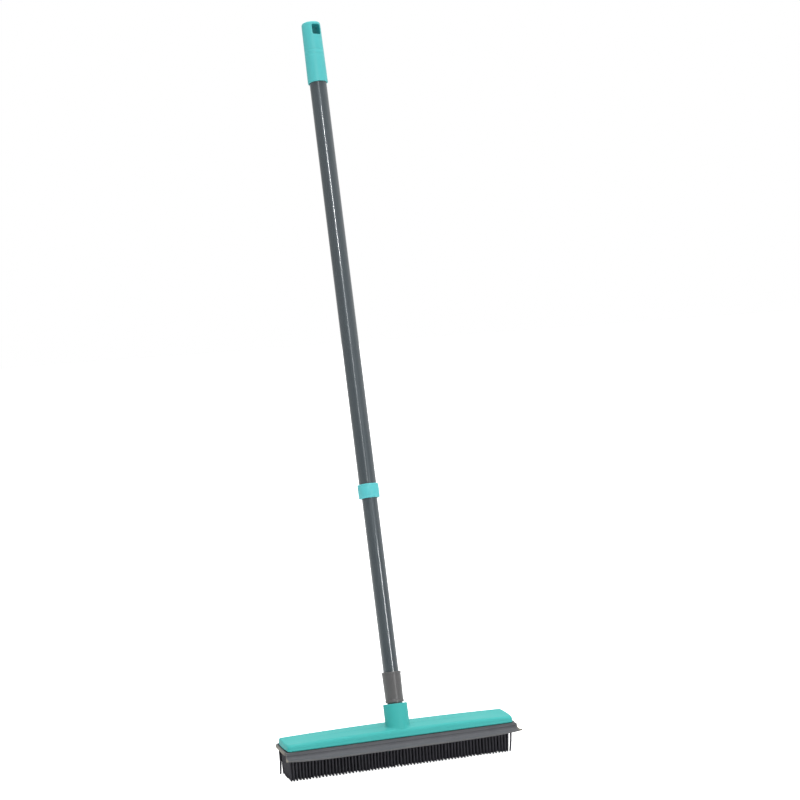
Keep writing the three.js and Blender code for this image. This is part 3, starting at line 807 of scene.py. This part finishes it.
def makeBristles(look):
    chance = random.Random(look["seed"])
    sheetBottom = blockHigh.z - look["sheet"]
    rootZ = sheetBottom + look["rootSunk"]
    firstRow = blockLow.y + look["rowMargin"]
    rows = int(round((blockHigh.y - blockLow.y - 2 * look["rowMargin"]) / look["rowPitch"])) + 1
    columns = look["columns"]
    fingers = []
    for row in range(rows):
        rootY = firstRow + row * look["rowPitch"]
        splay = {0: -look["frontSplay"], rows - 1: look["frontSplay"]}.get(row, 0.0)
        for column in range(columns):
            rootX = look["firstColumn"] + column * look["columnPitch"]
            fromEnd = min(column, columns - 1 - column) * look["columnPitch"]
            zone = max(0.0, 1 - fromEnd / look["leanZone"])
            wave = sum(size * math.sin(rootX * along + row * across) for size, along, across in look["waves"])
            lean = -math.copysign(look["inwardLean"] * zone ** 2, rootX) + wave * (1 - zone)
            tipX = rootX + lean + chance.gauss(0, look["wander"])
            tipY = rootY + splay + chance.gauss(0, look["wander"])
            tipZ = blockLow.z + look["unevenTips"] * chance.random() ** 2
            bow = (chance.gauss(0, look["bow"]), chance.gauss(0, look["bow"]))
            fingers.append((Vector((rootX, rootY, rootZ)), Vector((tipX, tipY, tipZ)), bow))
    for rootX, rootY, tipX in look["strays"]:  # at two corners
        tip = Vector((tipX * mm, rootY * mm, blockLow.z + look["strayLift"]))
        fingers.append((Vector((rootX * mm, rootY * mm, rootZ)), tip, look["strayBow"]))
    solids = [fingerRings(look, *finger) for finger in fingers] + [sheetRings(look, sheetBottom)]
    points, faces = [], []
    for rings in solids:
        more, moreFaces = joinRings(rings, startCap=True, endCap=True, firstIndex=len(points))
        points += more
        faces += moreFaces
    makePiece("bristles", points, faces, "darkRubber", "head", "bristle_block",
              sharpAngle=60)
    print("bristles made:", len(fingers))


makeBristles(bristleLook)


# tubes of the pole
tubeLook = {"wall": 0.6 * mm, "edge": 0.15 * mm, "steps": 24}


def makeTube(name, node, body, look):
    low, high, radius = poleSpan(node)
    inner = radius - look["wall"]
    edge, steps = look["edge"], look["steps"]
    profile = [(radius, low + edge + (high - low - 2 * edge) * i / steps) for i in range(steps + 1)]
    profile += [(radius - edge, high), (inner + edge, high), (inner, high - edge)]
    profile += [(inner, low + edge), (inner + edge, low), (radius - edge, low)]
    points, faces = joinRings(turnedRings(profile), closeUp=True)
    makePiece(name, points, faces, "tubePaint", body, node)


# end piece of the lower tube, with the screw thread
adapterLook = {
    "shoulderGap": 1.2 * mm,  # above the socket's mouth
    "neck": 3.6 * mm,
    "neckRound": 0.4 * mm,
    "step": 0.4 * mm,
    "stepEdge": 0.3 * mm,
    "stepTop": 0.1 * mm,
    "lowerRadius": 11.6 * mm,
    "upperRadius": 12.15 * mm,
    "taperSteps": 10,
    "bead": 2.6 * mm,
    "edge": 0.5 * mm,
    "bore": 10.3 * mm,
    "smallEdge": 0.2 * mm,
    "boreBottom": 45 * mm,
    "core": 9.7 * mm,  # under the thread
    "coreTaper": (1.5 * mm, 2 * mm),
    "turns": 5,
    "pitch": 5 * mm,
    "threadStart": 2.4 * mm,
    "ridge": 1.2 * mm,
    "ridgeSides": 8,
    "turnSteps": 48,
    "runOut": 16,  # steps over which the thread rises to its full height
    "runOutLeast": 0.25,
}


def adapterProfile(look):
    low, high, beadRadius = poleSpan("thread_adapter")
    shoulder = socketTop + look["shoulderGap"]
    neckTop = shoulder + look["neck"]
    neckRadius = look["lowerRadius"] + look["step"]
    edge, small = look["stepEdge"], look["smallEdge"]
    narrow, rise = look["coreTaper"]
    beadLow = high - look["bead"]
    profile = [(look["core"] - narrow, low), (look["core"], low + rise), (look["core"], shoulder - small)]
    profile += [(neckRadius - edge, shoulder), (neckRadius, shoulder + edge), (neckRadius, neckTop - edge)]
    taperStart = (look["lowerRadius"], neckTop + look["neckRound"])
    taperEnd = (look["upperRadius"], beadLow - small)
    profile += rounded((neckRadius - look["stepTop"], neckTop), (look["lowerRadius"], neckTop), taperStart, 3)
    for i in range(1, look["taperSteps"] + 1):
        share = i / look["taperSteps"]
        profile.append(tuple(start + (end - start) * share for start, end in zip(taperStart, taperEnd)))
    beadEdge = look["edge"]
    beadFoot = (beadRadius, beadLow + beadEdge)
    profile += rounded((look["upperRadius"], beadLow), (beadRadius, beadLow), beadFoot, 3)
    profile += rounded((beadRadius, high - beadEdge), (beadRadius, high), (beadRadius - beadEdge, high), 4)
    bore = look["bore"]
    return profile + [(bore + small, high), (bore, high - small), (bore, look["boreBottom"])]


def threadRings(look):  # a ridge wound round the core
    low, _, _ = poleSpan("thread_adapter")
    steps = look["turns"] * look["turnSteps"]
    rings = []
    for i in range(steps + 1):
        turned = i / look["turnSteps"]
        angle = 2 * math.pi * turned
        outward = Vector((math.cos(angle), math.sin(angle), 0))
        centre = outward * look["core"] + Vector((0, 0, low + look["threadStart"] + look["pitch"] * turned))
        risen = min(1.0, i / look["runOut"], (steps - i) / look["runOut"])
        size = look["ridge"] * (look["runOutLeast"] + (1 - look["runOutLeast"]) * risen)
        ring = []
        for j in range(look["ridgeSides"]):
            around = 2 * math.pi * j / look["ridgeSides"]
            offset = outward * math.cos(around) + Vector((0, 0, 1)) * math.sin(around)
            ring.append(polePlace @ (centre + offset * size))
        rings.append(ring)
    return rings


def makeAdapter(look):
    points, faces = joinRings(turnedRings(adapterProfile(look)), startCap=True, endCap=True)
    more, moreFaces = joinRings(threadRings(look), startCap=True, endCap=True, firstIndex=len(points))
    makePiece("threadAdapter", points + more, faces + moreFaces, "adapterPlastic", "lower_pole",
              "thread_adapter", sharpAngle=35)


# ring on the end of the upper tube
collarLook = {
    "edge": 1.5 * mm,
    "mouthEdge": 0.3 * mm,
    "linePlace": 1.9 * mm,  # of the shallow line near each end
    "line": ((0, 0), (0.18, 0.25), (0.18, 0.5), (0.05, 0.8)),  # millimetres deep, and further in
    "bore": 11.65 * mm,
    "boreBottom": 6 * mm,
    "bushBore": 12.35 * mm,
    "bushTop": 5.5 * mm,
    "lipBore": 10.4 * mm,
    "lipHeight": 2.4 * mm,
}


def makeCollar(look):
    low, high, radius = poleSpan("twist_collar")
    edge, line, small = look["edge"], look["linePlace"], look["mouthEdge"]
    bore, bushBore, lipBore = look["bore"], look["bushBore"], look["lipBore"]
    profile = [(lipBore, low + small), (lipBore + small, low)]
    profile += rounded((radius - edge, low), (radius, low), (radius, low + edge), 6)
    profile += [(radius - deep * mm, low + line + along * mm) for deep, along in look["line"]]
    profile += [(radius - deep * mm, high - line - along * mm) for deep, along in reversed(look["line"])]
    profile += rounded((radius, high - edge), (radius, high), (radius - edge, high), 6)
    profile += [(bore + small, high), (bore, high - small), (bore, low + look["boreBottom"])]
    lipTop = low + look["lipHeight"]
    profile += [(bushBore, low + look["bushTop"]), (bushBore, lipTop), (lipBore, lipTop)]
    points, faces = joinRings(turnedRings(profile), closeUp=True)
    makePiece("twistCollar", points, faces, "collarTurquoisePaintedLight", "upper_pole",
              "twist_collar", sharpAngle=35)


# end cap with its hang hole
capLook = {
    "topRadius": 12.6 * mm,
    "edge": 2.6 * mm,
    "lowerEdge": 0.6 * mm,
    "dome": 0.8 * mm,
    "domeShares": (0.75, 0.5, 0.25, 0.02),  # of the flat top's radius
    "bore": 11.65 * mm,
    "boreEdge": 0.3 * mm,
    "boreRing": 40 * mm,
    "roofGap": 0.3 * mm,  # above the tube's end
    "roofCentre": 0.1 * mm,
    "grooves": (40.0, 46.5),  # millimetres below the top
    "grooveDepth": 0.14 * mm,
    "grooveShape": ((0, -0.45), (0.5, -0.25), (1, -0.08), (1, 0.08), (0.5, 0.25), (0, 0.45)),
    "grooveMargin": 3 * mm,
    "ringPitch": 5 * mm,
    "sharpAngle": 35,
    "holeWidth": 12.3 * mm,
    "holeHeight": 14.2 * mm,
    "holeRound": 1.8 * mm,
    "holeTopWall": 5.2 * mm,
    "holeTurn": 18,  # degrees
    "holeEdge": 0.5 * mm,
    "holeEdgeSteps": 3,
    "holeEdgeAngle": 50,
    "holeMargin": 0.1 * mm,
    "cutterReach": 20 * mm,
}


def capProfile(look):
    low, high, bottomRadius = poleSpan("hanging_cap")
    _, tubeEnd, _ = poleSpan("upper_tube")

    def radiusAt(place):
        return bottomRadius + (look["topRadius"] - bottomRadius) * (place - low) / (high - low)

    bore, small = look["bore"], look["boreEdge"]
    roof = tubeEnd + look["roofGap"]
    profile = [(look["roofCentre"], roof), (bore - small, roof), (bore, roof - small)]
    profile += [(bore, low + look["boreRing"]), (bore, low + small), (bore + small, low)]
    edgeTop = low + look["lowerEdge"]
    profile += rounded((bottomRadius - look["lowerEdge"], low), (bottomRadius, low),
                       (radiusAt(edgeTop), edgeTop), 4)
    margin = look["grooveMargin"]
    marks = sorted(high - depth * mm for depth in look["grooves"])
    shoulder = high - look["dome"] - look["edge"]
    place = low + margin
    for mark in marks + [shoulder]:
        while place < mark - margin:
            profile.append((radiusAt(place), place))
            place += look["ringPitch"]
        if mark < shoulder:
            profile += [(radiusAt(mark) - share * look["grooveDepth"], mark + shift * mm)
                        for share, shift in look["grooveShape"]]
            place = mark + margin
    steps = 8
    for i in range(steps + 1):
        angle = math.pi / 2 * i / steps
        profile.append((look["topRadius"] - look["edge"] * (1 - math.cos(angle)),
                        shoulder + look["edge"] * math.sin(angle)))
    flat = look["topRadius"] - look["edge"]
    return profile + [(flat * share, high - look["dome"] * share ** 2) for share in look["domeShares"]]


def makeCap(look):
    points, faces = joinRings(turnedRings(capProfile(look)), startCap=True, endCap=True)
    cap = makePiece("hangingCap", points, faces, "turquoisePaintedLight", "upper_pole",
                    "hanging_cap", look["sharpAngle"])
    cutHole(cap, look)


def cutHole(cap, look):  # hang hole right through the cap, turned a little to one side
    halfWide, halfHigh = look["holeWidth"] / 2, look["holeHeight"] / 2
    _, top, _ = poleSpan("hanging_cap")
    middle = top - look["holeTopWall"] - halfHigh
    holePlace = polePlace @ Matrix.Rotation(math.radians(look["holeTurn"]), 4, "Z")
    ring = outline(halfWide, -halfHigh, halfHigh, look["holeRound"], 2, 2, 6)
    reach = look["cutterReach"]
    rings = [[holePlace @ Vector((x, depth, middle + z)) for x, z in ring] for depth in (reach, -reach)]
    points, faces = joinRings(rings, startCap=True, endCap=True)
    mesh = bpy.data.meshes.new("holeCutter")
    mesh.from_pydata([tuple(p) for p in points], [], faces)
    cutter = bpy.data.objects.new("holeCutter", mesh)
    bpy.context.scene.collection.objects.link(cutter)
    cut = cap.modifiers.new("hole", "BOOLEAN")
    cut.operation = "DIFFERENCE"
    cut.solver = "EXACT"
    cut.object = cutter
    soft = cap.modifiers.new("holeEdge", "BEVEL")
    soft.width = look["holeEdge"]
    soft.segments = look["holeEdgeSteps"]
    soft.limit_method = "ANGLE"
    soft.angle_limit = math.radians(look["holeEdgeAngle"])
    bpy.context.view_layer.update()
    finished = bpy.data.meshes.new_from_object(cap.evaluated_get(bpy.context.evaluated_depsgraph_get()))
    cap.modifiers.clear()
    cap.data = finished
    finished.name = "hangingCap"
    finished.set_sharp_from_angle(angle=math.radians(look["sharpAngle"]))
    finished.materials.append(finish["turquoisePaintedShade"])
    toHole = holePlace.inverted()
    margin = look["holeMargin"]
    for face in finished.polygons:  # the hole's own walls, which get the painted shade
        spot = toHole @ face.center
        inWindow = abs(spot.x) < halfWide + margin and abs(spot.z - middle) < halfHigh + margin
        if inWindow and math.hypot(spot.x, spot.y) < look["topRadius"] - look["holeEdge"]:
            face.material_index = 1
    bpy.data.objects.remove(cutter)
    bpy.data.meshes.remove(mesh)


makeTube("lowerTube", "lower_tube", "lower_pole", tubeLook)
makeTube("upperTube", "upper_tube", "upper_pole", tubeLook)
makeAdapter(adapterLook)
makeCollar(collarLook)
makeCap(capLook)
print("pole made")


# finishes of the inner CAD pieces
innerFinishes = {
    "clamp_plate": "greyPlastic",
    "lock_plug": "plainNylon",
    "lock_cam": "plainNylon",
    "cam_retainer": "plainNylon",
    "guide_bush": "plainNylon",
}
innerFinishes.update({f"clamp_screw_{i}": "zincSteel" for i in range(1, 7)})
for node, finishName in innerFinishes.items():
    part = frame["nodes"][node]
    part.data.materials.clear()
    part.data.materials.append(finish[finishName])
print("inner pieces finished")
